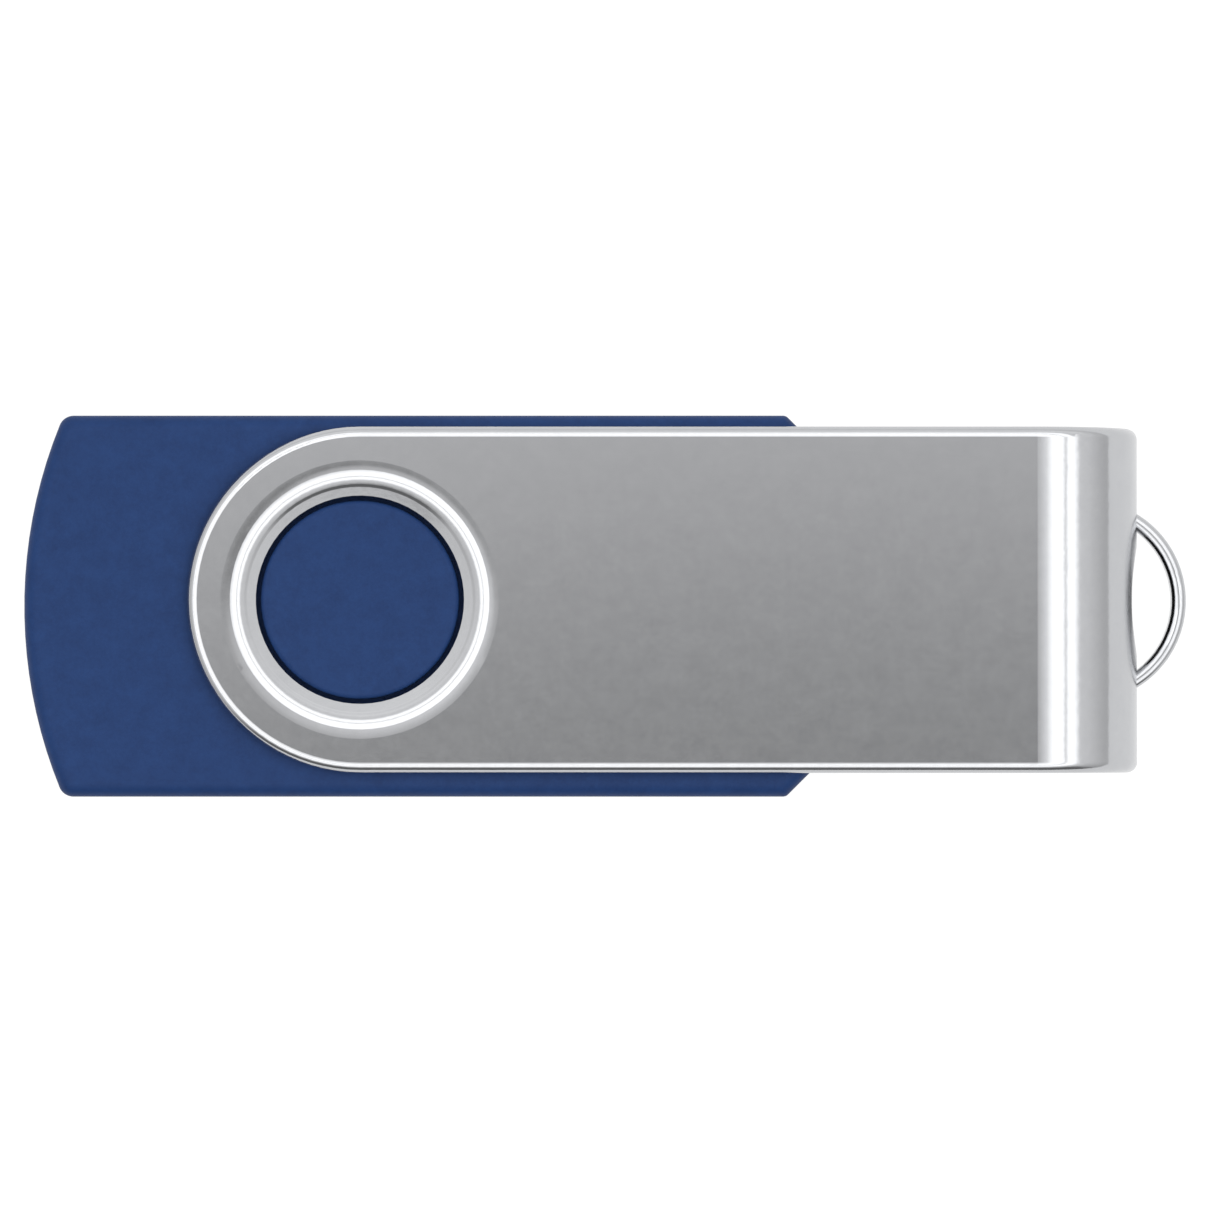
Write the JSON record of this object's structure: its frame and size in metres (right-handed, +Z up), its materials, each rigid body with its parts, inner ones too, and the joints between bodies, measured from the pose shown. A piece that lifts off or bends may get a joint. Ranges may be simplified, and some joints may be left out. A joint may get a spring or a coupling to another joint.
{
  "type": "usb flash drive",
  "caption": "Flat two-part drive housing with a rectangular plug, and a bent sheet-metal cover with an end loop that swivels right round on dimples to cover or free the plug.",
  "frame": {"origin": "centre of the bottom face of the overall box, with the plug covered and the drive lying flat", "axes": "+X from the housing's arched rear to the cover's loop, +Y across the drive, +Z up out of the face that the plug's contacts face"},
  "size_m": [0.0578, 0.0188, 0.0104],
  "materials": {
    "satin_steel": "satin, with polished rounded edges",
    "blue_plastic": "fine matte",
    "plated_steel": "bright nickel plate",
    "black_plastic": "moulded",
    "gold_plate": "gold plate",
    "green_board": "solder mask over glass fibre",
    "chip_resin": "moulded epoxy",
    "tinned_lead": "tin plate",
    "ceramic": "ceramic",
    "crystal_metal": "brushed lid",
    "capacitor_ceramic": "ceramic",
    "resistor_coat": "glazed",
    "led_white": "moulded",
    "led_resin": "clear resin with phosphor",
    "solder": "solder"
  },
  "bodies": {
    "drive_body": {"upper_housing": "blue_plastic", "lower_housing": "blue_plastic", "plug_shell": "plated_steel", "plug_insulator": "black_plastic", "contact_power": "gold_plate", "contact_data_minus": "gold_plate", "contact_data_plus": "gold_plate", "contact_ground": "gold_plate", "circuit_board": "green_board", "flash_package": "chip_resin", "controller_package": "chip_resin", "flash_leads": "tinned_lead", "controller_leads": "tinned_lead", "crystal_base": "ceramic", "crystal_lid": "crystal_metal", "capacitor_bodies": "capacitor_ceramic", "capacitor_ends": "tinned_lead", "resistor_bodies": "resistor_coat", "resistor_ends": "tinned_lead", "led_base": "led_white", "led_lens": "led_resin", "solder_joints": "solder"},
    "swivel_cover_body": {"swivel_cover": "satin_steel"}
  },
  "joints": [
    {"name": "cover_swivel", "type": "hinge", "parent": "drive_body", "child": "swivel_cover_body", "pos_m": [-0.01222, 0.0003, 0.0052], "axis": [0, 0, 1], "continuous": true}
  ]
}
